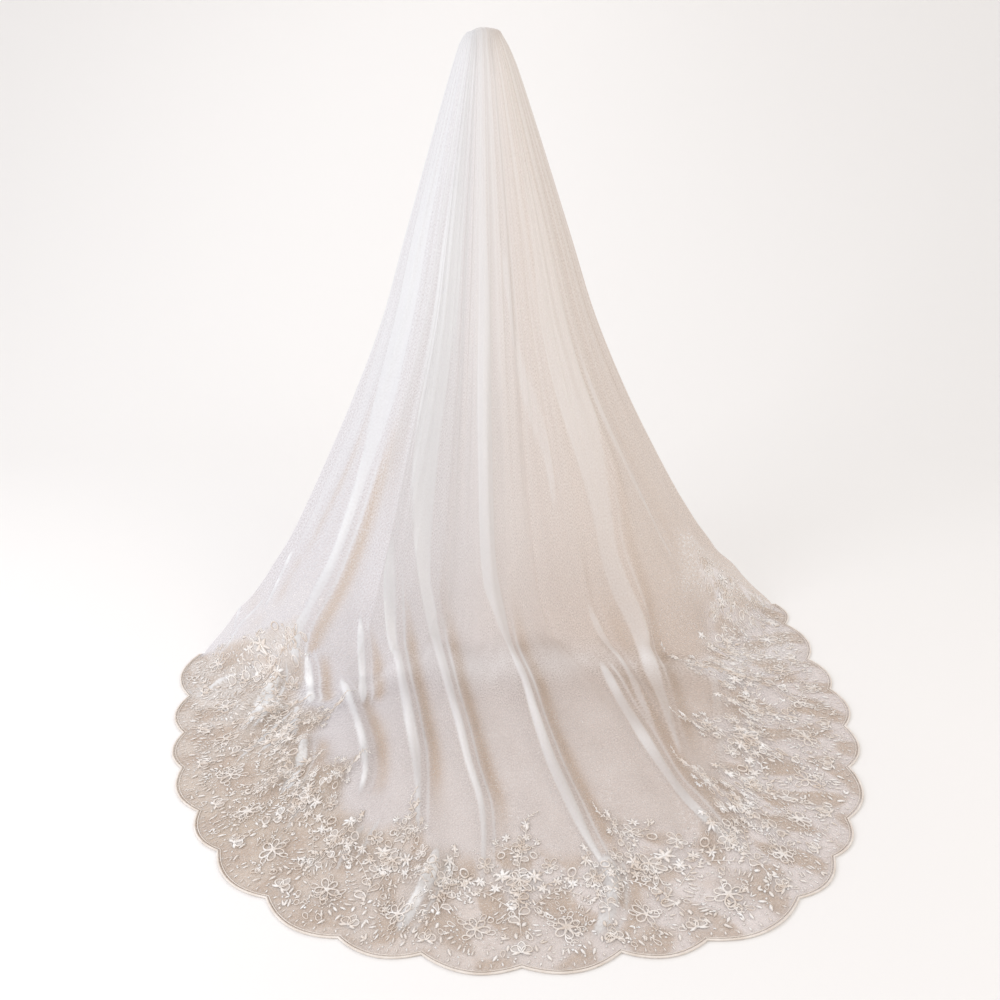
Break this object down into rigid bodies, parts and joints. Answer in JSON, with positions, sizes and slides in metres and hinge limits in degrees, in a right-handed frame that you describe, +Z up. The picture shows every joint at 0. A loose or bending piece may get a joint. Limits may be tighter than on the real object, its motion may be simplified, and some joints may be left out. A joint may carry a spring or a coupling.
{
  "type": "lace bridal veil",
  "caption": "Cathedral-length bridal veil of gathered tulle on a hair comb, hanging into a rounded train with a deep scalloped lace border.",
  "frame": {"origin": "seat of the hair comb: the middle of the comb's back, where its teeth begin, at the back of the wearer's crown", "axes": "+Z up, the wearer faces +Y and the train runs out towards -Y, +X towards the wearer's right hand; the floor is at z = -1.62 m"},
  "size_m": [1.7722, 1.7142, 1.6499],
  "materials": {
    "comb": "clear ivory plastic, polished",
    "tulle": "soft ivory net, see-through, slight sheen",
    "lace": "embroidered ivory net with satin-stitch flowers and sequins",
    "cord": "corded satin piping"
  },
  "bodies": {
    "root": {"comb": "comb", "tulle": "tulle", "lace_border": "lace", "scallop_cord": "cord"}
  },
  "joints": []
}
